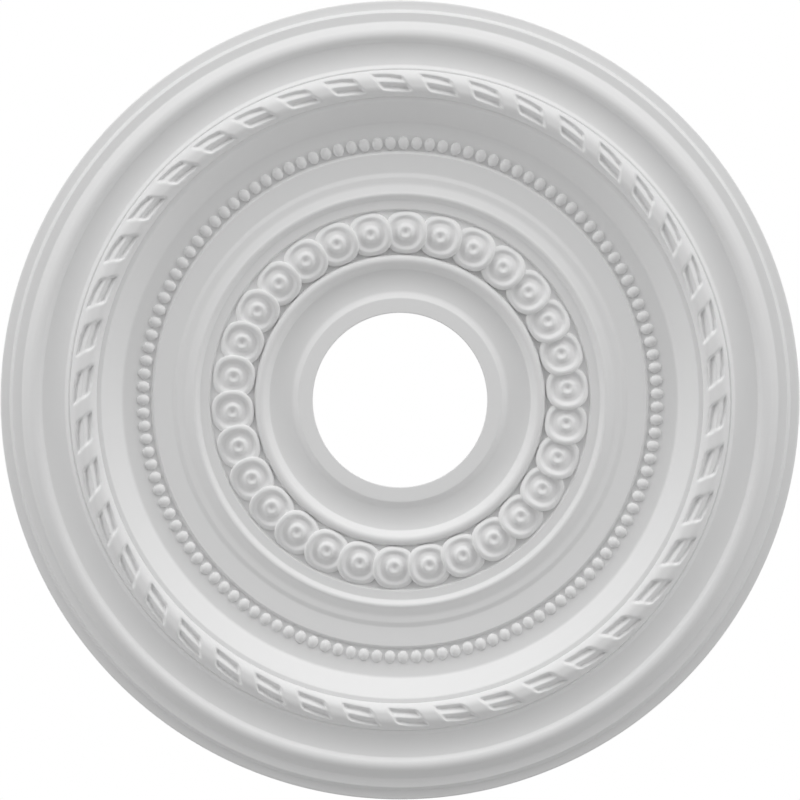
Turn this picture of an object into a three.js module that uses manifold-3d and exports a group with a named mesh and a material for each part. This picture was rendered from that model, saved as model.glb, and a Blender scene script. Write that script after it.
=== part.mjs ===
// A round ceiling rose, moulded in one piece. Its flat back lies against the
// ceiling at height zero and its ornament hangs below it. From the hole outwards
// the face carries a shallow bowl and astragal, a ring of overlapping coins, a
// plain band, a ring of beads, a steep cone up to a reed-and-ribbon torus, which
// is the deepest moulding, and a hollow and a ridge before the rim.
// Millimetres, +Z up, with the origin at the centre of the hole in the back's plane.

import * as THREE from "three";
import { mergeVertices } from "three/addons/utils/BufferGeometryUtils.js";
import Module from "manifold-3d";

// Driving dimensions
const outerRadius = 203.2; // a 16 inch rose
const holeRadius = 44.45; // a 3.5 inch hole for the cable and the lamp's bracket
const projection = 25.4; // from the ceiling to the crown of the ribbon torus
const landDepth = 8.35; // thickness at the hole, where a lamp's canopy seats

// Flat facets in one turn, inside the coins and outside them
const innerTurn = 36;
const outerTurn = 56;

// The plain mouldings from the hole to the rim. Each has its width, how much
// deeper below the ceiling it ends than it starts, how far its curve bulges out
// from a straight slope (a hollow is negative), and how many facets follow it.
const mouldings = [
  { name: "inner land", width: 7.5, deeper: 0, bulge: 0, facets: 1 },
  { name: "step into the bowl", width: 3.1, deeper: -2.2, bulge: 0, facets: 1 },
  { name: "bowl", width: 11.5, deeper: 0.1, bulge: -0.65, facets: 2 },
  { name: "astragal flank", width: 2.4, deeper: 3.2, bulge: 0, facets: 1 },
  { name: "astragal", width: 4.75, deeper: 0.1, bulge: 1.3, facets: 3 },
  { name: "drop to the coins", width: 0.6, deeper: -1.1, bulge: 0, facets: 1 },
  { name: "coin bed", width: 22.1, deeper: 0, bulge: 0, facets: 1 },
  { name: "rise from the coins", width: 0.8, deeper: 1.2, bulge: 0, facets: 1 },
  { name: "fillet outside the coins", width: 4.3, deeper: 0.25, bulge: 0, facets: 1 },
  { name: "ridge flank", width: 1.9, deeper: 1.9, bulge: 0, facets: 1 },
  { name: "ridge top", width: 2.3, deeper: -0.05, bulge: 0, facets: 1 },
  { name: "ridge fall", width: 4.2, deeper: -1.75, bulge: 0, facets: 1 },
  { name: "ridge foot", width: 3.2, deeper: -0.1, bulge: 0, facets: 1 },
  { name: "step to the plain band", width: 2.2, deeper: -1.0, bulge: 0, facets: 1 },
  { name: "plain band", width: 9.8, deeper: 0.25, bulge: 0, facets: 1 },
  { name: "drop to the beads", width: 1.8, deeper: -1.4, bulge: 0, facets: 1 },
  { name: "bead bed", width: 8.0, deeper: 0.5, bulge: 0, facets: 1 },
  { name: "hollow below the cone", width: 6.5, deeper: 0.75, bulge: 0, facets: 1 },
  { name: "cone", width: 10.1, deeper: 11.25, bulge: 0, facets: 1 },
  { name: "quirk", width: 2.4, deeper: 0.3, bulge: 0, facets: 1 },
  { name: "torus", width: 13.6, deeper: -0.6, crown: projection, facets: 6 },
  { name: "fillet outside the torus", width: 1.1, deeper: 0.1, bulge: 0, facets: 1 },
  { name: "step to the hollow", width: 1.8, deeper: -2.0, bulge: 0, facets: 1 },
  { name: "hollow", width: 11.2, deeper: -0.35, bulge: -0.6, facets: 2 },
  { name: "rim ridge flank", width: 1.9, deeper: 1.85, bulge: 0, facets: 1 },
  { name: "rim ridge", width: 4.8, deeper: -0.5, bulge: 0.75, facets: 2 },
  { name: "rim ridge fall", width: 3.9, deeper: -4.1, bulge: 0, facets: 1 },
  { name: "rim shelf", width: 4.7, deeper: -0.3, bulge: 0, facets: 1 },
  { name: "rim step", width: 1.5, deeper: -3.3, bulge: 0, facets: 1 },
  { name: "rim slope", width: 4.8, deeper: -1.1, bulge: 0, facets: 1 },
];

// Rings of ornament. A first angle is measured from the -Y side, and angles grow
// clockwise for someone looking up at the rose from below. Coins are tilted so that
// the clockwise edge of each rides over the next, and bend over the ring's crown.
const coin = {
  count: 30,
  firstAngle: 1.96,
  sides: 8,
  overlap: 1.2, // diameter over spacing
  rooted: 3, // how far its base lies within the body
  buttonHeight: 4.4,
  wellHeight: 2.9,
  rimHeight: 3.9,
  buttonShare: 0.3, // out to the button's edge, the well and the rim, over the coin's radius
  wellShare: 0.58,
  rimShare: 0.92,
  outwardFall: 0.045,
  tilt: 5.6,
  crownRadius: 17,
};
const bead = { count: 123, firstAngle: 0.79, fill: 0.9, height: 1.8, rows: [-0.65, 0, 0.65] };
const ribbon = { count: 42, firstAngle: 2.95, widthShare: 0.4, wind: 5.7, edge: 0.6 };
const reed = { count: 3, sunk: 1.9, grooveDepth: 1.0 };

const fullTurn = 2 * Math.PI;
const startSide = -90; // degrees from the +X side to the -Y side

// Place every moulding: where it starts and ends, in radius and in depth.
function layOut(list) {
  const totalWidth = list.reduce((sum, moulding) => sum + moulding.width, 0);
  const widthScale = (outerRadius - holeRadius) / totalWidth;
  let radius = holeRadius;
  let depth = landDepth;
  return list.map((moulding) => {
    const start = { radius, depth };
    radius += moulding.width * widthScale;
    depth += moulding.deeper;
    const end = { radius, depth };
    const bulge = moulding.bulge ?? moulding.crown - (start.depth + end.depth) / 2;
    return { ...moulding, start, end, bulge };
  });
}

const face = layOut(mouldings);

function placed(name) {
  return face.find((moulding) => moulding.name === name);
}

function middleRadius(moulding) {
  return (moulding.start.radius + moulding.end.radius) / 2;
}

function arcRadiusOf(width, bulge) {
  return ((width / 2) ** 2 + bulge ** 2) / (2 * Math.abs(bulge));
}

// How far a circular arc of the given width stands off its chord.
function arcHeight(width, bulge, share) {
  if (bulge === 0) {
    return 0;
  }
  const arcRadius = arcRadiusOf(width, bulge);
  const offset = (share - 0.5) * width;
  const height = Math.sqrt(arcRadius ** 2 - offset ** 2) - arcRadius + Math.abs(bulge);
  return Math.sign(bulge) * height;
}

// A point on a moulding's curve, at a share from 0 at its inner end to 1.
function pointOn(moulding, share) {
  const { start, end, bulge } = moulding;
  const width = end.radius - start.radius;
  const radius = start.radius + share * width;
  const depth = THREE.MathUtils.lerp(start.depth, end.depth, share);
  return { radius, depth: depth + arcHeight(width, bulge, share) };
}

// The angle of a place in a ring of ornament, for a whole or part number.
function ringAngle(ring, number) {
  const degrees = startSide + ring.firstAngle + (360 / ring.count) * number;
  return THREE.MathUtils.degToRad(degrees);
}

// The face is a series of rings of corners, each corner an angle, radius and depth.
function plainRing(radius, depth, count) {
  return Array.from({ length: count }, (_, index) => {
    return { angle: (fullTurn * index) / count, radius, depth };
  });
}

function plainRings(moulding) {
  const count = moulding.end.radius < placed("coin bed").end.radius ? innerTurn : outerTurn;
  return Array.from({ length: moulding.facets }, (_, index) => {
    const { radius, depth } = pointOn(moulding, (index + 1) / moulding.facets);
    return plainRing(radius, depth, count);
  });
}

// Rows of corners at shares of the bead's radius, with every second corner on a bead
// and the rest between beads.
function beadRings(bed) {
  const radius = middleRadius(bed);
  const beadRadius = ((fullTurn * radius) / bead.count) * (bead.fill / 2);
  const rings = bead.rows.map((row) => {
    const height = bead.height * Math.sqrt(1 - row ** 2);
    const { depth } = pointOn(bed, 0.5 + (row * beadRadius) / bed.width);
    return Array.from({ length: 2 * bead.count }, (_, index) => ({
      angle: ringAngle(bead, index / 2),
      radius: radius + row * beadRadius,
      depth: depth + (index % 2 === 0 ? height : 0),
    }));
  });
  rings.push(plainRing(bed.end.radius, bed.end.depth, outerTurn));
  return rings;
}

// Between the ribbons the torus is sunk and cut into reeds that run round it.
function reedSink(share) {
  const groove = (1 + Math.cos(fullTurn * reed.count * share)) / 2;
  return Math.sin(Math.PI * share) * (reed.sunk + reed.grooveDepth * groove);
}

// Each ribbon is a smooth band on the full round of the torus, and winds round it
// as it goes. Four corners in every row make its two edges, each a foot and a top.
function ribbonRings(torus) {
  const middle = middleRadius(torus);
  const arcRadius = arcRadiusOf(torus.width, torus.bulge);
  const halfWidth = (fullTurn / ribbon.count) * (ribbon.widthShare / 2);
  const foot = halfWidth + ribbon.edge / middle;
  const edges = [
    { turn: -foot, sunk: true },
    { turn: -halfWidth, sunk: false },
    { turn: halfWidth, sunk: false },
    { turn: foot, sunk: true },
  ];
  const rings = [];
  for (let step = 1; step < torus.facets; step += 1) {
    const share = step / torus.facets;
    const { radius, depth } = pointOn(torus, share);
    const wind = (ribbon.wind * Math.asin((radius - middle) / arcRadius)) / middle;
    const ring = [];
    for (let number = 0; number < ribbon.count; number += 1) {
      for (const { turn, sunk } of edges) {
        const angle = ringAngle(ribbon, number) + turn - wind;
        ring.push({ angle, radius, depth: depth - (sunk ? reedSink(share) : 0) });
      }
    }
    rings.push(ring);
  }
  rings.push(plainRing(torus.end.radius, torus.end.depth, outerTurn));
  return rings;
}

// All the rings, from the hole's edge on the back, over the face, to the rim.
function allRings() {
  const rings = [plainRing(holeRadius, 0, innerTurn)];
  rings.push(plainRing(holeRadius, landDepth, innerTurn));
  for (const moulding of face) {
    if (moulding.name === "bead bed") {
      rings.push(...beadRings(moulding));
    } else if (moulding.name === "torus") {
      rings.push(...ribbonRings(moulding));
    } else {
      rings.push(...plainRings(moulding));
    }
  }
  rings.push(plainRing(outerRadius, 0, outerTurn));
  return rings;
}

// The order in which a ring's corners are met going round from angle zero.
function inTurn(ring) {
  return ring
    .map((corner, index) => ({ index, angle: THREE.MathUtils.euclideanModulo(corner.angle, fullTurn) }))
    .sort((one, other) => one.angle - other.angle);
}

// Triangles between two rings. Rings of like count are joined corner to corner, and
// others by going round both and stepping along the one whose next corner is nearer.
function stitch(ring, firstCorner, nextRing, nextFirstCorner) {
  const triangles = [];
  if (ring.length === nextRing.length) {
    for (let index = 0; index < ring.length; index += 1) {
      const after = (index + 1) % ring.length;
      const [a, b] = [firstCorner + index, firstCorner + after];
      const [c, d] = [nextFirstCorner + index, nextFirstCorner + after];
      triangles.push(a, b, c, b, d, c);
    }
    return triangles;
  }
  const near = inTurn(ring);
  const far = inTurn(nextRing);
  const angleAt = (list, step) => list[step % list.length].angle + (step >= list.length ? fullTurn : 0);
  let nearStep = 0;
  let farStep = 0;
  while (nearStep < near.length || farStep < far.length) {
    const a = firstCorner + near[nearStep % near.length].index;
    const c = nextFirstCorner + far[farStep % far.length].index;
    const nearIsNext = angleAt(near, nearStep + 1) <= angleAt(far, farStep + 1);
    if (farStep === far.length || (nearStep < near.length && nearIsNext)) {
      nearStep += 1;
      triangles.push(a, firstCorner + near[nearStep % near.length].index, c);
    } else {
      farStep += 1;
      triangles.push(a, nextFirstCorner + far[farStep % far.length].index, c);
    }
  }
  return triangles;
}

function bodyGeometry() {
  const rings = allRings();
  const places = [];
  const starts = [];
  for (const ring of rings) {
    starts.push(places.length / 3);
    for (const { angle, radius, depth } of ring) {
      places.push(radius * Math.cos(angle), radius * Math.sin(angle), -depth);
    }
  }
  const triangles = rings.flatMap((ring, index) => {
    const next = (index + 1) % rings.length;
    return stitch(ring, starts[index], rings[next], starts[next]);
  });
  const geometry = new THREE.BufferGeometry();
  geometry.setAttribute("position", new THREE.Float32BufferAttribute(places, 3));
  geometry.setIndex(triangles);
  return geometry;
}

// Move every corner of a geometry by a function of its place.
function reshape(geometry, move) {
  const position = geometry.attributes.position;
  const corner = new THREE.Vector3();
  for (let index = 0; index < position.count; index += 1) {
    corner.fromBufferAttribute(position, index);
    move(corner);
    position.setXYZ(index, corner.x, corner.y, corner.z);
  }
  return geometry;
}

// One coin with its raised rim, sunk well and round button. It is shaped with X out
// from the rose's centre, Y clockwise as seen from below and Z up.
function coinGeometry() {
  const bed = placed("coin bed");
  const spacing = (fullTurn * middleRadius(bed)) / coin.count;
  const radius = (spacing * coin.overlap) / 2;
  const profile = [
    [0, coin.buttonHeight],
    [radius * coin.buttonShare, coin.buttonHeight],
    [radius * coin.wellShare, coin.wellHeight],
    [radius * coin.rimShare, coin.rimHeight],
    [radius, -coin.rooted],
    [0, -coin.rooted],
  ];
  const points = profile.map(([out, height]) => new THREE.Vector2(out, -height));
  const geometry = new THREE.LatheGeometry(points, coin.sides).rotateX(Math.PI / 2);
  const lift = Math.tan(THREE.MathUtils.degToRad(coin.tilt));
  return reshape(geometry, (corner) => {
    const crownFall = corner.x ** 2 / (2 * coin.crownRadius);
    corner.z += crownFall + corner.x * coin.outwardFall - corner.y * lift - bed.start.depth;
  });
}

// A closed geometry as a solid, once its doubled corners are merged.
function toSolid(library, geometry) {
  const bare = geometry.clone();
  bare.deleteAttribute("normal");
  bare.deleteAttribute("uv");
  const merged = mergeVertices(bare);
  const triangles = [];
  for (let index = 0; index < merged.index.count; index += 3) {
    const [a, b, c] = [0, 1, 2].map((step) => merged.index.getX(index + step));
    if (a !== b && b !== c && c !== a) {
      triangles.push(a, b, c);
    }
  }
  return new library.Manifold(new library.Mesh({
    numProp: 3,
    vertProperties: new Float32Array(merged.attributes.position.array),
    triVerts: new Uint32Array(triangles),
  }));
}

function toGeometry(solid) {
  const mesh = solid.getMesh();
  const geometry = new THREE.BufferGeometry();
  geometry.setAttribute("position", new THREE.BufferAttribute(mesh.vertProperties, 3));
  geometry.setIndex(new THREE.BufferAttribute(mesh.triVerts, 1));
  return geometry;
}

function joinCoins(library, body) {
  const radius = middleRadius(placed("coin bed"));
  const pattern = coinGeometry().translate(radius, 0, 0);
  let joined = body;
  for (let number = 0; number < coin.count; number += 1) {
    const turned = pattern.clone().rotateZ(ringAngle(coin, number));
    joined = joined.add(toSolid(library, turned));
  }
  return joined;
}

const library = await Module();
library.setup();

const casting = joinCoins(library, toSolid(library, bodyGeometry()));
const paint = new THREE.MeshStandardMaterial({ color: 0xf2f1ee, roughness: 0.7, metalness: 0 });
const rose = new THREE.Mesh(toGeometry(casting), paint);
rose.name = "ceiling_rose";

const group = new THREE.Group();
group.add(rose);

export default group;
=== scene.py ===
"""A round ceiling rose with coin, bead and reed-and-ribbon mouldings, seen from straight below."""

import math
from typing import NamedTuple

import bpy
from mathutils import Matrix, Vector


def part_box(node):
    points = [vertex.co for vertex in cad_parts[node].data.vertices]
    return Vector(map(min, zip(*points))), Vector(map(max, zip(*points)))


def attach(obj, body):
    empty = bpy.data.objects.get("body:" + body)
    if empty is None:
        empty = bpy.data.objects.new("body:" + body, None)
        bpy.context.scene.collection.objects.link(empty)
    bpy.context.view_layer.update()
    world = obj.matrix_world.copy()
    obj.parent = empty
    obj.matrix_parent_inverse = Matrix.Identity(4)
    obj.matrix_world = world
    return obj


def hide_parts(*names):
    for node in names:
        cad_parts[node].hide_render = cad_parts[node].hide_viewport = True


bl_info = {
    "name": "Ceiling rose",
    "version": (1, 0, 0),
    "blender": (4, 5, 0),
    "location": "3D View > Sidebar > Ceiling rose",
    "description": "Makes a moulded ceiling rose with its coins, beads and ribbon torus",
    "category": "Add Mesh",
}

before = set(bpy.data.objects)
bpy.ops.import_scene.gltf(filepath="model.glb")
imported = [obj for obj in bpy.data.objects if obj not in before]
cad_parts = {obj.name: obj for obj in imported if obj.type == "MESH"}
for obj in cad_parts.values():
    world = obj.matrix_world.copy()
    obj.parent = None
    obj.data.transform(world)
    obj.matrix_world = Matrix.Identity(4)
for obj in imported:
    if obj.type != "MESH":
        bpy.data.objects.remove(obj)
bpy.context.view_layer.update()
NODE = "ceiling_rose"
LOW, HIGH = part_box(NODE)

MM = 0.001
FULL_TURN = 2 * math.pi


class Moulding(NamedTuple):
    """One plain moulding of the face, in millimetres, met going out from the hole."""

    name: str
    width: float
    deeper: float
    bulge: float = 0.0
    facets: int = 1
    rounding: float = 0.4


# Each moulding's width, how much deeper below the ceiling it ends than it starts, how far its
# curve bulges out from a straight slope, and how softly the corner at its end is rounded
MOULDINGS = [
    Moulding("inner land", 7.5, 0, rounding=0.4),
    Moulding("step into the bowl", 3.1, -2.4, rounding=0.9),
    Moulding("bowl", 11.5, 0.1, bulge=-0.65, facets=6, rounding=0.4),
    Moulding("astragal flank", 2.4, 3.4, rounding=0.6),
    Moulding("astragal", 4.75, 0.1, bulge=1.4, facets=8, rounding=0.3),
    Moulding("drop to the coins", 0.6, -1.85, rounding=0.2),
    Moulding("coin bed", 22.1, 0.45, rounding=0.2),
    Moulding("rise from the coins", 0.8, 1.5, rounding=0.3),
    Moulding("fillet outside the coins", 4.6, 0.25, rounding=0.4),
    Moulding("ridge flank", 1.9, 1.9, rounding=0.4),
    Moulding("ridge top", 2.2, -0.05, bulge=0.4, facets=5, rounding=0.4),
    Moulding("ridge fall", 4.0, -1.75, rounding=0.9),
    Moulding("ridge foot", 3.4, -0.1, rounding=0.5),
    Moulding("step to the plain band", 2.3, -1.0, rounding=0.5),
    Moulding("plain band", 9.8, 0.25, rounding=0.3),
    Moulding("drop to the beads", 1.4, -2.2, rounding=0.3),
    Moulding("bead bed", 8.1, 1.3, rounding=0.3),
    Moulding("hollow below the cone", 6.5, 0.45, bulge=-0.1, facets=3, rounding=0.8),
    Moulding("cone", 10.1, 11.55, rounding=0.5),
    Moulding("quirk", 2.4, 0.3, rounding=0.3),
    Moulding("torus bed", 13.6, -0.6, bulge=-2.0, facets=4, rounding=0.3),
    Moulding("fillet outside the torus", 0.9, 0.1, rounding=0.3),
    Moulding("step to the hollow", 1.7, -2.0, rounding=0.5),
    Moulding("hollow", 11.5, -0.35, bulge=-0.75, facets=7, rounding=0.4),
    Moulding("rim ridge flank", 1.9, 2.1, rounding=0.4),
    Moulding("rim ridge", 4.8, -0.5, bulge=0.75, facets=7, rounding=0.7),
    Moulding("rim ridge fall", 3.9, -4.5, rounding=0.5),
    Moulding("rim shelf", 4.7, -0.3, rounding=0.4),
    Moulding("rim step", 1.5, -3.3, rounding=0.4),
    Moulding("rim slope", 4.8, -0.95, rounding=0.8),
]

# How softly the edges of the back are rounded, in millimetres
BACK_ROUNDING = 0.5

# A rounded corner takes at most this share of the flat on each side of it, and a point on each
# flat, this many times as far off as the rounding reaches, keeps the flat's shading flat
CORNER_SHARE = 0.4
FLAT_HOLD = 1.3

# How far out the crest and the foot of a coin's button and rim are, as shares of its radius
BUTTON_CREST = 0.26
BUTTON_FOOT = 0.47
RIM_FOOT = 0.6
RIM_CREST = 0.84

# How far up from the well to the button's crest the dimple's floor is, from 0 to 1, how far the
# rim falls to the coin's wall in millimetres, and how far the coin leans back towards the
# ceiling for each millimetre outwards
DIMPLE_FLOOR = 0.35
RIM_FALL = 1.5
OUTWARD_FALL = 0.045

# With powers of 2 a coin would be round and the torus round on its crown. Higher powers make
# the coin a little square and the crown a little flat.
COIN_POWER = 2.3
TORUS_POWER = 2.8

# How far the walls of the coins, the beads and the torus go into the body, in millimetres
COIN_ROOT = 3.0
BEAD_ROOT = 0.8
TORUS_ROOT = 4.0

# The grooves between the three reeds: how far out from the torus's middle line they run and how
# deep below the ceiling, in millimetres, beside one ribbon and beside the next one clockwise
INNER_GROOVE = (-1.7, -2.6)
INNER_GROOVE_DEPTH = (22.6, 22.2)
OUTER_GROOVE = (3.7, 2.7)
OUTER_GROOVE_DEPTH = (21.7, 22.4)

# How deep the reeds are at the torus's inner and outer side, and how far each reed bulges, in
# millimetres, the outer one beside one ribbon and beside the next
INNER_SIDE_DEPTH = 20.7
OUTER_SIDE_DEPTH = 20.3
INNER_REED_BULGE = 1.9
MIDDLE_REED_BULGE = 2.1
OUTER_REED_BULGE = (1.4, 1.6)

# The inner reed comes out from under one ribbon, and the outer reed goes in under the next, over
# this share of their length. That starts and is complete this far out from the torus's middle
# line, in millimetres.
REED_FADE = 0.36
INNER_FADE = (-2.0, -5.6)
OUTER_FADE = (2.0, 5.2)

# Steps round the body, the coins and the beads, and over their curves
BODY_SEGMENTS = 320
CORNER_STEPS = 3
COIN_SEGMENTS = 60
SLOPE_STEPS = 5
RIM_STEPS = 7
RIM_EDGE_STEPS = 4
BEAD_SEGMENTS = 12
BEAD_STEPS = 4

# Rows across the torus, and columns along one ribbon, each of its edges and the reeds
RIBBON_ROWS = 56
RIBBON_COLUMNS = 8
EDGE_COLUMNS = 5
REED_COLUMNS = 14

# Copies in a ring are joined where their corners are nearer than this, in metres
SEAM_GAP = 0.005 * MM

# Sizes of the primer's texture, its relief, and where the back's coat ends, in metres
PATCH_SIZE = 60 * MM
GRAIN_SIZE = 4 * MM
STIPPLE_SIZE = 0.9 * MM
CLOUD_SIZE = 25 * MM
PIT_SPACING = 2.6 * MM
RELIEF_DEPTH = 0.05 * MM
BACK_COAT_DEPTH = 0.25 * MM

# A pit's radius as a share of the pits' spacing, and its depth as a multiple of the relief's
PIT_RADIUS = 0.16
PIT_DEPTH = 2.0

# How far patches and not grain make the face's colour, and stipple and not grain its relief
PATCH_SHARE = 0.6
STIPPLE_SHARE = 0.5

# How strong the relief is, how much the grain and the back's coat add to the roughness, and how
# much the primer mirrors
RELIEF_STRENGTH = 0.35
GRAIN_ROUGHNESS = 0.12
BACK_ROUGHNESS = 0.18
MIRRORING = 0.35

# The darkest and the lightest tint of the face and of the back, as shares of the primer's colour
FACE_DARK = (0.985, 0.985, 0.985)
FACE_LIGHT = (1.012, 1.012, 1.012)
BACK_DARK = (0.9, 0.885, 0.85)
BACK_LIGHT = (0.97, 0.96, 0.935)


class RoseSizes(bpy.types.PropertyGroup):
    """Overall sizes of the rose."""

    outer_radius: bpy.props.FloatProperty(
        name="Outer radius", description="From the centre to the rim", default=HIGH.x, unit="LENGTH"
    )
    hole_radius: bpy.props.FloatProperty(
        name="Hole radius", description="Radius of the cable hole", default=44.45 * MM, unit="LENGTH"
    )
    projection: bpy.props.FloatProperty(
        name="Projection",
        description="From the ceiling to the crown of the ribbon torus",
        default=-LOW.z,
        unit="LENGTH",
    )
    land_depth: bpy.props.FloatProperty(
        name="Land depth", description="Thickness at the hole", default=8.35 * MM, unit="LENGTH"
    )


class CoinSizes(bpy.types.PropertyGroup):
    """The ring of overlapping coins."""

    count: bpy.props.IntProperty(name="Coins", description="Coins in the ring", default=30)
    first_angle: bpy.props.FloatProperty(
        name="First angle",
        description="Where the first coin stands",
        default=math.radians(1.96),
        subtype="ANGLE",
    )
    radius: bpy.props.FloatProperty(
        name="Coin radius", description="Radius of one coin", default=10.9 * MM, unit="LENGTH"
    )
    rim_height: bpy.props.FloatProperty(
        name="Rim height", description="Rim's crest above the bed", default=5.3 * MM, unit="LENGTH"
    )
    well_height: bpy.props.FloatProperty(
        name="Well height", description="Sunk well above the bed", default=3.6 * MM, unit="LENGTH"
    )
    button_height: bpy.props.FloatProperty(
        name="Button height", description="Button's crest above the bed", default=5.6 * MM, unit="LENGTH"
    )
    tilt: bpy.props.FloatProperty(
        name="Tilt",
        description="How each coin's clockwise edge rises over the next",
        default=math.radians(5.6),
        subtype="ANGLE",
    )
    crown_radius: bpy.props.FloatProperty(
        name="Crown radius", description="Curve that the coins bend over", default=17.0 * MM, unit="LENGTH"
    )


class BeadSizes(bpy.types.PropertyGroup):
    """The ring of beads."""

    count: bpy.props.IntProperty(name="Beads", description="Beads in the ring", default=123)
    first_angle: bpy.props.FloatProperty(
        name="First angle",
        description="Where the first bead stands",
        default=math.radians(0.79),
        subtype="ANGLE",
    )
    radius: bpy.props.FloatProperty(
        name="Bead radius", description="Half a bead, across the ring", default=3.4 * MM, unit="LENGTH"
    )
    roundness: bpy.props.FloatProperty(
        name="Roundness",
        description="A bead's width along the ring as a share of that across",
        default=0.84,
    )
    height: bpy.props.FloatProperty(
        name="Bead height", description="Crown of a bead above its bed", default=2.6 * MM, unit="LENGTH"
    )


class RibbonSizes(bpy.types.PropertyGroup):
    """The torus with ribbons wound round a bundle of reeds."""

    count: bpy.props.IntProperty(name="Ribbons", description="Ribbons in the ring", default=42)
    first_angle: bpy.props.FloatProperty(
        name="First angle",
        description="Where the first ribbon crosses the crown",
        default=math.radians(2.95),
        subtype="ANGLE",
    )
    width: bpy.props.FloatProperty(
        name="Ribbon width", description="Across the ribbon's flat face", default=7.6 * MM, unit="LENGTH"
    )
    edge: bpy.props.FloatProperty(
        name="Ribbon edge", description="Across each rounded edge", default=2.4 * MM, unit="LENGTH"
    )
    wind: bpy.props.FloatProperty(
        name="Wind",
        description="How far a ribbon moves round the ring in one radian round the torus",
        default=5.0 * MM,
        unit="LENGTH",
    )


class RoseFinish(bpy.types.PropertyGroup):
    """The primer on the moulding."""

    primer: bpy.props.FloatVectorProperty(
        name="Primer",
        description="Colour of the primer",
        default=(0.86, 0.86, 0.86),
        size=3,
        subtype="COLOR",
    )
    roughness: bpy.props.FloatProperty(
        name="Roughness", description="Mean roughness of the primer", default=0.62, min=0.0, max=1.0
    )


class Place(NamedTuple):
    """A moulding with the radius and depth of both its ends, in millimetres."""

    moulding: Moulding
    start: Vector
    end: Vector


def lay_out(sizes):
    """Place every moulding between the hole and the rim."""
    hole_radius = sizes.hole_radius / MM
    total_width = sum(moulding.width for moulding in MOULDINGS)
    width_scale = (sizes.outer_radius / MM - hole_radius) / total_width
    start = Vector((hole_radius, sizes.land_depth / MM))
    places = {}
    for moulding in MOULDINGS:
        end = start + Vector((moulding.width * width_scale, moulding.deeper))
        places[moulding.name] = Place(moulding, start, end)
        start = end
    return places


def arc_radius(width, bulge):
    """Radius of the circular arc that stands bulge off a chord of this width."""
    return ((width / 2) ** 2 + bulge**2) / (2 * abs(bulge))


def arc_height(width, bulge, share):
    """How far a circular arc stands off its chord, at a share from 0 to 1 along it."""
    if bulge == 0:
        return 0.0
    radius = arc_radius(width, bulge)
    offset = (share - 0.5) * width
    height = math.sqrt(radius**2 - offset**2) - radius + abs(bulge)
    return math.copysign(height, bulge)


def mix(first, second, share):
    """The value at a share of the way from the first to the second."""
    return first + (second - first) * share


def smooth_step(share):
    """An S-shaped rise from 0 to 1."""
    share = min(max(share, 0.0), 1.0)
    return share * share * (3 - 2 * share)


def body_outline(sizes):
    """The body's closed section as (radius and depth, rounding), from the hole's edge on the back."""
    places = lay_out(sizes)
    start = places["inner land"].start
    outline = [(Vector((start.x, 0)), BACK_ROUNDING), (start, places["inner land"].moulding.rounding)]
    for moulding, start, end in places.values():
        for step in range(1, moulding.facets + 1):
            share = step / moulding.facets
            point = start.lerp(end, share)
            point.y += arc_height(end.x - start.x, moulding.bulge, share)
            outline.append((point, moulding.rounding if step == moulding.facets else 0.0))
    outline.append((Vector((outline[-1][0].x, 0)), BACK_ROUNDING))
    return outline


def soften(outline):
    """Round the corners of a closed outline, and hold the flats beside them flat."""
    softened = []
    for index, (corner, rounding) in enumerate(outline):
        if rounding == 0:
            softened.append(corner)
            continue
        to_last = outline[index - 1][0] - corner
        to_next = outline[(index + 1) % len(outline)][0] - corner
        start = to_last.normalized() * min(rounding, CORNER_SHARE * to_last.length)
        end = to_next.normalized() * min(rounding, CORNER_SHARE * to_next.length)
        softened.append(corner + start * FLAT_HOLD)
        for step in range(CORNER_STEPS + 1):
            share = step / CORNER_STEPS
            softened.append(corner + start * (1 - share) ** 2 + end * share**2)
        softened.append(corner + end * FLAT_HOLD)
    return softened


def ring_angle(ring):
    """The angle of a ring's first place. A first angle is measured from the -Y side, and grows
    clockwise for someone who looks up at the rose from below."""
    return ring.first_angle - math.pi / 2


def corner_at(out, along, turn, depth):
    """A corner in metres, from how far it is out along a spoke, beside it and below the ceiling."""
    return (
        (out * math.cos(turn) - along * math.sin(turn)) * MM,
        (out * math.sin(turn) + along * math.cos(turn)) * MM,
        -depth * MM,
    )


def mesh_object(name, corners, faces):
    """A smooth mesh object from corners in metres."""
    mesh = bpy.data.meshes.new(name)
    mesh.from_pydata(corners, [], faces)
    mesh.shade_smooth()
    mesh.validate()
    piece = bpy.data.objects.new(name, mesh)
    bpy.context.scene.collection.objects.link(piece)
    return piece


def revolved(name, section, segments):
    """A closed ring made by turning a closed section of radii and depths, in millimetres, about Z."""
    corners = []
    for index in range(segments):
        angle = FULL_TURN * index / segments
        for radius, depth in section:
            corners.append(corner_at(radius, 0.0, angle, depth))
    count = len(section)
    faces = []
    for index in range(segments):
        here = index * count
        there = (index + 1) % segments * count
        for step in range(count):
            after = (step + 1) % count
            faces.append((here + step, here + after, there + after, there + step))
    return mesh_object(name, corners, faces)


def disc_object(name, profile, segments, place):
    """A closed disc from a profile of radii and heights, with every corner put in place by a function."""
    corners = [place(0.0, 0.0, profile[0][1])]
    faces = []
    for ring, (radius, height) in enumerate(profile[1:]):
        for index in range(segments):
            angle = FULL_TURN * index / segments
            corners.append(place(radius * math.cos(angle), radius * math.sin(angle), height))
            first = 1 + ring * segments
            after = (index + 1) % segments
            if ring == 0:
                faces.append((0, first + after, first + index))
            else:
                inner = first - segments
                faces.append((inner + index, inner + after, first + after, first + index))
    last = 1 + (len(profile) - 2) * segments
    faces.append([last + index for index in range(segments)])
    return mesh_object(name, corners, faces)


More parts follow.
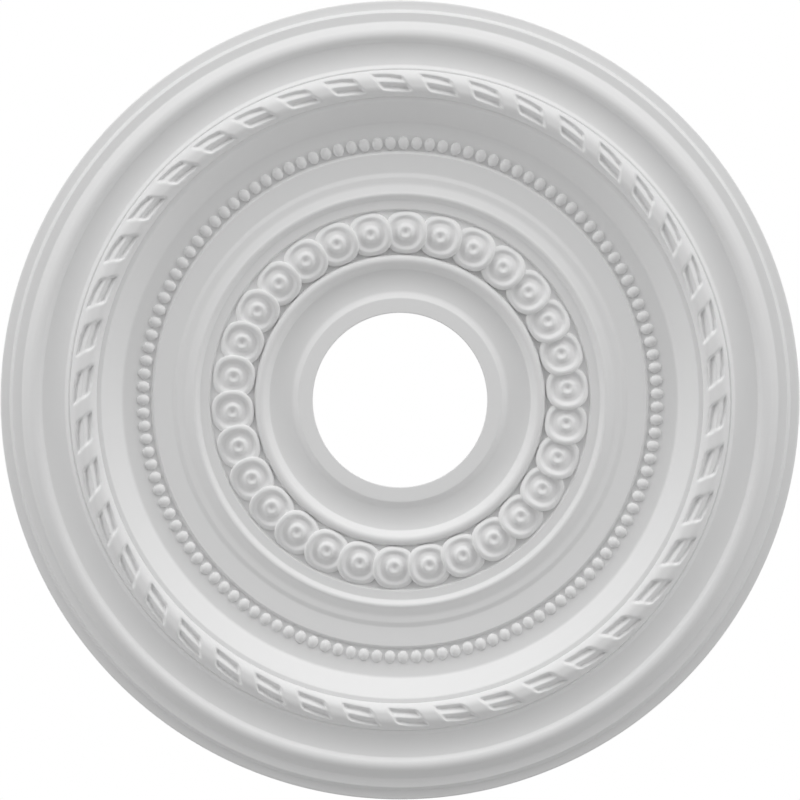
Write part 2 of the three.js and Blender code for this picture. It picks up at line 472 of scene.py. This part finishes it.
def ring_tree():
    """Geometry nodes that stand copies of a pattern in a ring about Z and join their seams."""
    tree = bpy.data.node_groups.new("Ring of copies", "GeometryNodeTree")
    sockets = tree.interface
    sockets.new_socket("Geometry", in_out="INPUT", socket_type="NodeSocketGeometry")
    sockets.new_socket("Count", in_out="INPUT", socket_type="NodeSocketInt")
    sockets.new_socket("Seam gap", in_out="INPUT", socket_type="NodeSocketFloat")
    sockets.new_socket("Material", in_out="INPUT", socket_type="NodeSocketMaterial")
    sockets.new_socket("Geometry", in_out="OUTPUT", socket_type="NodeSocketGeometry")

    def add(kind, **settings):
        node = tree.nodes.new(kind)
        for setting, value in settings.items():
            setattr(node, setting, value)
        return node

    given = add("NodeGroupInput")
    points = add("GeometryNodeMeshLine", mode="OFFSET")
    points.inputs["Offset"].default_value = (0, 0, 0)
    index = add("GeometryNodeInputIndex")
    step = add("ShaderNodeMath", operation="DIVIDE")
    step.inputs[0].default_value = FULL_TURN
    angle = add("ShaderNodeMath", operation="MULTIPLY")
    turn = add("ShaderNodeCombineXYZ")
    rotation = add("FunctionNodeEulerToRotation")
    copies = add("GeometryNodeInstanceOnPoints")
    real = add("GeometryNodeRealizeInstances")
    joined = add("GeometryNodeMergeByDistance")
    painted = add("GeometryNodeSetMaterial")
    result = add("NodeGroupOutput")

    link = tree.links.new
    link(given.outputs["Count"], points.inputs["Count"])
    link(given.outputs["Count"], step.inputs[1])
    link(index.outputs[0], angle.inputs[0])
    link(step.outputs[0], angle.inputs[1])
    link(angle.outputs[0], turn.inputs["Z"])
    link(turn.outputs[0], rotation.inputs[0])
    link(points.outputs[0], copies.inputs["Points"])
    link(given.outputs["Geometry"], copies.inputs["Instance"])
    link(rotation.outputs[0], copies.inputs["Rotation"])
    link(copies.outputs[0], real.inputs[0])
    link(real.outputs[0], joined.inputs["Geometry"])
    link(given.outputs["Seam gap"], joined.inputs["Distance"])
    link(joined.outputs[0], painted.inputs["Geometry"])
    link(given.outputs["Material"], painted.inputs["Material"])
    link(painted.outputs[0], result.inputs[0])
    return tree


def ring_of(pattern, count, finish):
    """Replace a pattern's object by a plain mesh of a whole ring of its copies."""
    modifier = pattern.modifiers.new("Ring of copies", "NODES")
    modifier.node_group = bpy.data.node_groups.get("Ring of copies") or ring_tree()
    values = {"Count": count, "Seam gap": SEAM_GAP, "Material": finish}
    for socket in modifier.node_group.interface.items_tree:
        if socket.in_out == "INPUT" and socket.name in values:
            modifier[socket.identifier] = values[socket.name]
    bpy.context.view_layer.update()
    evaluated = pattern.evaluated_get(bpy.context.evaluated_depsgraph_get())
    mesh = bpy.data.meshes.new_from_object(evaluated)
    pattern.modifiers.remove(modifier)
    pattern.data = mesh
    mesh.shade_smooth()
    return pattern


class Value:
    """A shader node's socket that ordinary arithmetic can be written on."""

    def __init__(self, nodes, socket):
        self.nodes = nodes
        self.socket = socket

    def maths(self, operation, *values):
        return self.nodes.node("ShaderNodeMath", {"operation": operation}, dict(enumerate(values)))

    def __add__(self, other):
        return self.maths("ADD", self, other)

    def __sub__(self, other):
        return self.maths("SUBTRACT", self, other)

    def __rsub__(self, other):
        return self.maths("SUBTRACT", other, self)

    def __mul__(self, other):
        return self.maths("MULTIPLY", self, other)

    def __gt__(self, other):
        return self.maths("GREATER_THAN", self, other)

    def at_least(self, least):
        return self.maths("MAXIMUM", self, least)

    __radd__ = __add__
    __rmul__ = __mul__


class Nodes:
    """A node tree of a material or a world in the making."""

    def __init__(self, tree):
        self.tree = tree

    def connect(self, socket, value):
        """Link a Value into a socket, or set the socket to a number or colour."""
        if isinstance(value, Value):
            self.tree.links.new(value.socket, socket)
        else:
            socket.default_value = value

    def node(self, kind, settings=None, inputs=None, output=0):
        """Add one node with its settings, then its sockets' values or links, and return one output."""
        node = self.tree.nodes.new(kind)
        for setting, value in (settings or {}).items():
            setattr(node, setting, value)
        for socket, value in (inputs or {}).items():
            self.connect(node.inputs[socket], value)
        return None if output is None else Value(self, node.outputs[output])


class Finish(Nodes):
    """A material in the making, with its Principled shader."""

    def __init__(self, name):
        self.material = bpy.data.materials.new(name)
        self.material.use_nodes = True
        super().__init__(self.material.node_tree)
        self.shader = self.tree.nodes["Principled BSDF"]

    def noise(self, place, size, detail=3.0):
        """Noise from 0 to 1 with patches of about this size in metres."""
        return self.node("ShaderNodeTexNoise", {}, {"Vector": place, "Scale": 1 / size, "Detail": detail})

    def blend(self, factor, first, second):
        """A colour between two others."""
        return self.node(
            "ShaderNodeMix",
            {"data_type": "RGBA"},
            {"Factor": factor, "A": first, "B": second},
            output="Result",
        )

    def shade(self, **inputs):
        """Set or link sockets of the Principled shader, named with underscores for spaces."""
        for name, value in inputs.items():
            self.connect(self.shader.inputs[name.replace("_", " ").title()], value)


def tinted(colour, shares):
    """An opaque colour with each channel multiplied by its own share, and none above 1."""
    channels = [min(channel * share, 1.0) for channel, share in zip(colour, shares)]
    return (*channels, 1.0)


def primed_moulding(finish_sizes):
    """Matt white primer on the face, and a thinner, greyer coat with fine pits on the back."""
    finish = Finish("primed moulding")
    place = finish.node("ShaderNodeTexCoord", output="Object")
    height = finish.node("ShaderNodeSeparateXYZ", {}, {0: place}, output="Z")
    on_back = height > -BACK_COAT_DEPTH
    patches = finish.noise(place, PATCH_SIZE)
    grain = finish.noise(place, GRAIN_SIZE)
    stipple = finish.noise(place, STIPPLE_SIZE)
    primer = finish_sizes.primer
    face = finish.blend(
        patches * PATCH_SHARE + grain * (1 - PATCH_SHARE),
        tinted(primer, FACE_DARK),
        tinted(primer, FACE_LIGHT),
    )
    back = finish.blend(
        finish.noise(place, CLOUD_SIZE, detail=6.0),
        tinted(primer, BACK_DARK),
        tinted(primer, BACK_LIGHT),
    )
    pits = finish.node(
        "ShaderNodeTexVoronoi",
        {"feature": "F1"},
        {"Vector": place, "Scale": 1 / PIT_SPACING, "Randomness": 1.0},
        output="Distance",
    )
    pitted = 1 - (pits > PIT_RADIUS)
    relief = stipple * STIPPLE_SHARE + grain * (1 - STIPPLE_SHARE) - on_back * pitted * PIT_DEPTH
    bumped = finish.node(
        "ShaderNodeBump",
        {},
        {"Strength": RELIEF_STRENGTH, "Distance": RELIEF_DEPTH, "Height": relief},
        output="Normal",
    )
    roughness = finish_sizes.roughness + (grain - 0.5) * GRAIN_ROUGHNESS + on_back * BACK_ROUGHNESS
    finish.shade(base_color=finish.blend(on_back, face, back), roughness=roughness, normal=bumped)
    finish.shader.inputs["Specular IOR Level"].default_value = MIRRORING
    return finish.material


def rose_finish():
    """The rose's one material, made on first use."""
    finish_sizes = bpy.context.scene.rose_finish
    return bpy.data.materials.get("primed moulding") or primed_moulding(finish_sizes)


def settle(piece):
    """Tie a finished piece to the model: it stands for the solid and takes its finish."""
    piece.data.materials.clear()
    piece.data.materials.append(rose_finish())
    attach(piece, "root")
    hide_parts(NODE)


def smooth_slope(radii, heights, steps):
    """Points of an S-shaped slope between two radii and two heights, after its first point."""
    points = []
    for step in range(1, steps + 1):
        share = step / steps
        points.append((mix(*radii, share), mix(*heights, smooth_step(share))))
    return points


def coin_profile(coin):
    """Radii and heights above the bed, in millimetres, from the button's dimple out to the wall."""
    radius = coin.radius / MM
    crest = radius * BUTTON_CREST
    rim_foot = radius * RIM_FOOT
    rim_crest = radius * RIM_CREST
    rim = coin.rim_height / MM
    well = coin.well_height / MM
    button = coin.button_height / MM
    dimple = mix(well, button, DIMPLE_FLOOR)
    profile = [(0.0, dimple)]
    profile += smooth_slope((0.0, crest), (dimple, button), SLOPE_STEPS)
    profile += smooth_slope((crest, radius * BUTTON_FOOT), (button, well), SLOPE_STEPS)
    profile.append((rim_foot, well))
    profile += smooth_slope((rim_foot, rim_crest), (well, rim), RIM_STEPS)
    for step in range(1, RIM_EDGE_STEPS + 1):
        share = step / RIM_EDGE_STEPS
        profile.append((mix(rim_crest, radius, math.sin(share * math.pi / 2)), rim - RIM_FALL * share**2))
    profile.append((radius, -COIN_ROOT))
    return profile


def squaring(out, along, radius):
    """How many times further out a point of a coin lies than on a round one, most at its corners."""
    distance = math.hypot(out, along)
    if distance == 0:
        return 1.0
    corner = abs(out / distance) ** COIN_POWER + abs(along / distance) ** COIN_POWER
    return mix(1.0, corner ** (-1 / COIN_POWER), distance / radius)


def coin_object(sizes, coin):
    """The first coin, bent over the ring's crown and tilted over its clockwise neighbour."""
    bed = lay_out(sizes)["coin bed"]
    middle = (bed.start.x + bed.end.x) / 2
    crown_radius = coin.crown_radius / MM
    turn = ring_angle(coin)

    def place(out, along, height):
        squared = squaring(out, along, coin.radius / MM)
        x = out * squared
        y = along * squared
        falls_back = OUTWARD_FALL * x + x**2 / (2 * crown_radius)
        depth = bed.start.y + height - falls_back + y * math.tan(coin.tilt)
        return corner_at(middle + x, y, turn, depth)

    return disc_object("coins", coin_profile(coin), COIN_SEGMENTS, place)


def bead_object(sizes, bead):
    """The first bead on its bed, longer across the ring than along it."""
    bed = lay_out(sizes)["bead bed"]
    middle = (bed.start.x + bed.end.x) / 2
    depth = (bed.start.y + bed.end.y) / 2
    turn = ring_angle(bead)
    radius = bead.radius / MM
    height = bead.height / MM
    profile = []
    for step in range(BEAD_STEPS + 1):
        angle = step / BEAD_STEPS * math.pi / 2
        profile.append((radius * math.sin(angle), height * math.cos(angle)))
    profile.append((radius, -BEAD_ROOT))

    def place(out, along, up):
        return corner_at(middle + out, along * bead.roundness, turn, depth + up)

    return disc_object("beads", profile, BEAD_SEGMENTS, place)


def torus_depth(bed, crown, share):
    """Depth of the torus's full round at a share from 0 to 1 across its bed, in millimetres."""
    chord = mix(bed.start.y, bed.end.y, share)
    bulge = crown - (bed.start.y + bed.end.y) / 2
    return min(chord + bulge * (1 - abs(2 * share - 1) ** TORUS_POWER), crown)


def reed_depth(bed_half, offset, share):
    """Depth of the three reeds in the torus, in millimetres: offset is out from its middle line,
    and share goes from 0 beside a ribbon to 1 beside the next one clockwise."""
    knots = [
        (-bed_half, INNER_SIDE_DEPTH),
        (mix(*INNER_GROOVE, share), mix(*INNER_GROOVE_DEPTH, share)),
        (mix(*OUTER_GROOVE, share), mix(*OUTER_GROOVE_DEPTH, share)),
        (bed_half, OUTER_SIDE_DEPTH),
    ]
    bulges = [INNER_REED_BULGE, MIDDLE_REED_BULGE, mix(*OUTER_REED_BULGE, share)]
    for (left, left_depth), (right, right_depth), bulge in zip(knots, knots[1:], bulges):
        if offset <= right:
            part = (offset - left) / (right - left)
            nearer = left if part < 0.5 else right
            if abs(nearer) == bed_half:
                round_off = 4 * part * (1 - part)
            else:
                round_off = math.sin(math.pi * part) ** 2
            return mix(left_depth, right_depth, part) + bulge * round_off
    return OUTER_SIDE_DEPTH


def reed_showing(offset, share):
    """How far the surface is sunk between the ribbons, from 0 to 1. The inner reed comes out slowly
    from under one ribbon and the outer reed goes slowly in under the next, so a hollow is a leaf."""

    def beyond(start, end):
        return smooth_step((offset - start) / (end - start))

    coming_out = smooth_step(share / REED_FADE)
    going_in = smooth_step((1 - share) / REED_FADE)
    return mix(1.0, coming_out, beyond(*INNER_FADE)) * mix(1.0, going_in, beyond(*OUTER_FADE))


def ribbon_columns(ribbon, middle):
    """Places round one repeat of the torus: distance from the ribbon's middle, how far the
    surface has sunk from the ribbon to the reeds, and the share of the way along the reeds."""
    repeat = FULL_TURN * middle / ribbon.count
    half = ribbon.width / MM / 2
    edge = ribbon.edge / MM
    reeds = repeat - 2 * half - 2 * edge
    columns = [(mix(-half, half, step / RIBBON_COLUMNS), 0.0, 0.0) for step in range(RIBBON_COLUMNS + 1)]
    for step in range(1, EDGE_COLUMNS + 1):
        share = step / EDGE_COLUMNS
        columns.append((half + edge * share, smooth_step(share), 0.0))
    for step in range(1, REED_COLUMNS + 1):
        share = step / REED_COLUMNS
        columns.append((half + edge + reeds * share, 1.0, share))
    for step in range(1, EDGE_COLUMNS + 1):
        share = step / EDGE_COLUMNS
        columns.append((repeat - half - edge * (1 - share), smooth_step(1 - share), 1.0))
    return columns


def ribbon_corners(sizes, ribbon):
    """Corners of one repeat of the torus, one closed line of them for each column."""
    bed = lay_out(sizes)["torus bed"]
    crown = sizes.projection / MM
    width = bed.end.x - bed.start.x
    middle = (bed.start.x + bed.end.x) / 2
    radius = arc_radius(width, crown - (bed.start.y + bed.end.y) / 2)
    half_sweep = math.asin(width / 2 / radius)
    sweeps = [mix(-half_sweep, half_sweep, step / RIBBON_ROWS) for step in range(RIBBON_ROWS + 1)]

    def corner(distance, sweep, depth):
        turn = ring_angle(ribbon) + (distance - ribbon.wind / MM * sweep) / middle
        return corner_at(middle + radius * math.sin(sweep), 0.0, turn, depth)

    lines = []
    for distance, sunk, share in ribbon_columns(ribbon, middle):
        line = []
        for sweep in sweeps:
            offset = radius * math.sin(sweep)
            full = torus_depth(bed, crown, offset / width + 0.5)
            reeds = reed_depth(width / 2, offset, share)
            line.append(corner(distance, sweep, mix(full, reeds, sunk * reed_showing(offset, share))))
        line.append(corner(distance, half_sweep, bed.start.y - TORUS_ROOT))
        line.append(corner(distance, -half_sweep, bed.start.y - TORUS_ROOT))
        lines.append(line)
    return lines


def ribbon_object(sizes, ribbon):
    """One repeat of the torus, a ribbon and the reeds clockwise of it, closed below inside the body."""
    lines = ribbon_corners(sizes, ribbon)
    count = len(lines[0])
    faces = []
    for column in range(len(lines) - 1):
        here = column * count
        there = here + count
        for step in range(count):
            after = (step + 1) % count
            faces.append((here + step, here + after, there + after, there + step))
    return mesh_object("ribbon_torus", [corner for line in lines for corner in line], faces)


class OBJECT_OT_rose_body(bpy.types.Operator):
    """Make the rose's body of revolution with its plain mouldings, hole, rim and back"""

    bl_idname = "object.rose_body"
    bl_label = "Body"

    def execute(self, context):
        section = soften(body_outline(context.scene.rose_sizes))
        settle(revolved("body", section, BODY_SEGMENTS))
        return {"FINISHED"}


class OBJECT_OT_rose_coins(bpy.types.Operator):
    """Make the ring of overlapping coins"""

    bl_idname = "object.rose_coins"
    bl_label = "Coins"

    def execute(self, context):
        coin = context.scene.rose_coins
        pattern = coin_object(context.scene.rose_sizes, coin)
        settle(ring_of(pattern, coin.count, rose_finish()))
        return {"FINISHED"}


class OBJECT_OT_rose_beads(bpy.types.Operator):
    """Make the ring of beads"""

    bl_idname = "object.rose_beads"
    bl_label = "Beads"

    def execute(self, context):
        bead = context.scene.rose_beads
        pattern = bead_object(context.scene.rose_sizes, bead)
        settle(ring_of(pattern, bead.count, rose_finish()))
        return {"FINISHED"}


class OBJECT_OT_rose_ribbons(bpy.types.Operator):
    """Make the torus with its ribbons and reeds"""

    bl_idname = "object.rose_ribbons"
    bl_label = "Ribbon torus"

    def execute(self, context):
        ribbon = context.scene.rose_ribbons
        pattern = ribbon_object(context.scene.rose_sizes, ribbon)
        settle(ring_of(pattern, ribbon.count, rose_finish()))
        return {"FINISHED"}


# How far the camera stands below the ceiling and how far it sees, in metres, the width of its
# sensor in millimetres, and the picture's width and the rose's radius in it, in pixels
CAMERA_DISTANCE = 4.0
CAMERA_REACH = 100.0
SENSOR_WIDTH = 36.0
FRAME_SIZE = 800
ROSE_RADIUS_IN_FRAME = 399.5

# How far below the ceiling the floor lies and how wide it is, in metres, and its finish
FLOOR_DROP = 6.5
FLOOR_SIZE = 3.0
FLOOR_COLOUR = (0.8, 0.8, 0.8, 1)
FLOOR_ROUGHNESS = 0.8

# The room's light: how bright it is from the sides and from straight below, how much brighter
# towards the picture's top, and how bright it is above the ceiling, at the horizon and overhead
SIDE_LIGHT = 2.02
FLOOR_LIGHT = 0.08
TOP_LIGHT = 0.98
LOW_SKY = 0.3
HIGH_SKY = 1.0

# How far down a direction points where the room takes over from the sky, and where the light
# from the sides gives way to that from the floor: 0 is level and 1 is straight down
HORIZON = (-0.05, 0.3)
SIDES_TO_FLOOR = (0.2, 1.0)


def add_camera():
    """A long lens straight below the rose, with the picture's top towards -Y."""
    camera = bpy.data.cameras.new("camera below")
    camera.sensor_width = SENSOR_WIDTH
    half_frame = HIGH.x * FRAME_SIZE / 2 / ROSE_RADIUS_IN_FRAME
    lip_depth = lay_out(bpy.context.scene.rose_sizes)["rim slope"].end.y * MM
    camera.lens = SENSOR_WIDTH / 2 * (CAMERA_DISTANCE - lip_depth) / half_frame
    camera.clip_end = CAMERA_REACH
    stand = bpy.data.objects.new("camera below", camera)
    stand.location = (0, 0, -CAMERA_DISTANCE)
    stand.rotation_euler = (math.pi, 0, 0)
    bpy.context.scene.collection.objects.link(stand)
    bpy.context.scene.camera = stand


def add_floor():
    """A plain pale floor, far below the ceiling."""
    half = FLOOR_SIZE / 2
    corners = [(-half, -half), (half, -half), (half, half), (-half, half)]
    floor = mesh_object("floor", [(x, y, -FLOOR_DROP) for x, y in corners], [(0, 1, 2, 3)])
    finish = Finish("pale floor")
    finish.shade(base_color=FLOOR_COLOUR, roughness=FLOOR_ROUGHNESS)
    floor.data.materials.append(finish.material)


def add_room():
    """A white background, and soft light from the sides all round, strongest from the picture's top."""
    world = bpy.data.worlds.new("room")
    world.use_nodes = True
    bpy.context.scene.world = world
    world.node_tree.nodes.clear()
    room = Nodes(world.node_tree)

    def ramp(value, start, end, first, last, shape="LINEAR"):
        limits = {0: value, 1: start, 2: end, 3: first, 4: last}
        return room.node("ShaderNodeMapRange", {"interpolation_type": shape}, limits)

    direction = room.node("ShaderNodeTexCoord", output="Generated")
    down = -1.0 * room.node("ShaderNodeSeparateXYZ", {}, {0: direction}, output="Z")
    to_top = -1.0 * room.node("ShaderNodeSeparateXYZ", {}, {0: direction}, output="Y")
    below = ramp(down, *HORIZON, 0.0, 1.0, "SMOOTHSTEP")
    sides = ramp(down, *SIDES_TO_FLOOR, SIDE_LIGHT, FLOOR_LIGHT, "SMOOTHSTEP") + to_top * TOP_LIGHT
    sky = ramp(down, 0.0, -1.0, LOW_SKY, HIGH_SKY)
    glow = (below * sides + (1 - below) * sky).at_least(0.0)
    light = room.node("ShaderNodeBackground", {}, {"Strength": glow})
    white = room.node("ShaderNodeBackground", {}, {"Color": (1, 1, 1, 1), "Strength": 1.0})
    seen = room.node("ShaderNodeLightPath", output="Is Camera Ray")
    both = room.node("ShaderNodeMixShader", {}, {0: seen, 1: light, 2: white})
    room.node("ShaderNodeOutputWorld", {"target": "ALL"}, {"Surface": both}, output=None)


class SCENE_OT_rose_stage(bpy.types.Operator):
    """Set up the camera, the floor and the room's light"""

    bl_idname = "scene.rose_stage"
    bl_label = "Stage"

    def execute(self, context):
        add_camera()
        add_floor()
        add_room()
        context.scene.view_settings.view_transform = "Standard"
        return {"FINISHED"}


class VIEW3D_PT_ceiling_rose(bpy.types.Panel):
    """Sizes of the rose and a button for each of its pieces"""

    bl_label = "Ceiling rose"
    bl_space_type = "VIEW_3D"
    bl_region_type = "UI"
    bl_category = "Ceiling rose"

    def draw(self, context):
        layout = self.layout
        for name, group in SETTINGS.items():
            settings = getattr(context.scene, name)
            column = layout.column(align=True)
            for field in group.__annotations__:
                column.prop(settings, field)
        for operator in OPERATORS:
            layout.operator(operator.bl_idname)


SETTINGS = {
    "rose_sizes": RoseSizes,
    "rose_coins": CoinSizes,
    "rose_beads": BeadSizes,
    "rose_ribbons": RibbonSizes,
    "rose_finish": RoseFinish,
}
OPERATORS = [
    OBJECT_OT_rose_body,
    OBJECT_OT_rose_coins,
    OBJECT_OT_rose_beads,
    OBJECT_OT_rose_ribbons,
    SCENE_OT_rose_stage,
]
CLASSES = [*SETTINGS.values(), *OPERATORS, VIEW3D_PT_ceiling_rose]


def register():
    for item in CLASSES:
        bpy.utils.register_class(item)
    for name, group in SETTINGS.items():
        setattr(bpy.types.Scene, name, bpy.props.PointerProperty(type=group))


def unregister():
    for name in SETTINGS:
        delattr(bpy.types.Scene, name)
    for item in reversed(CLASSES):
        bpy.utils.unregister_class(item)


def main():
    register()
    bpy.ops.object.rose_body()
    bpy.ops.object.rose_coins()
    bpy.ops.object.rose_beads()
    bpy.ops.object.rose_ribbons()
    bpy.ops.scene.rose_stage()


if __name__ == "__main__":
    main()
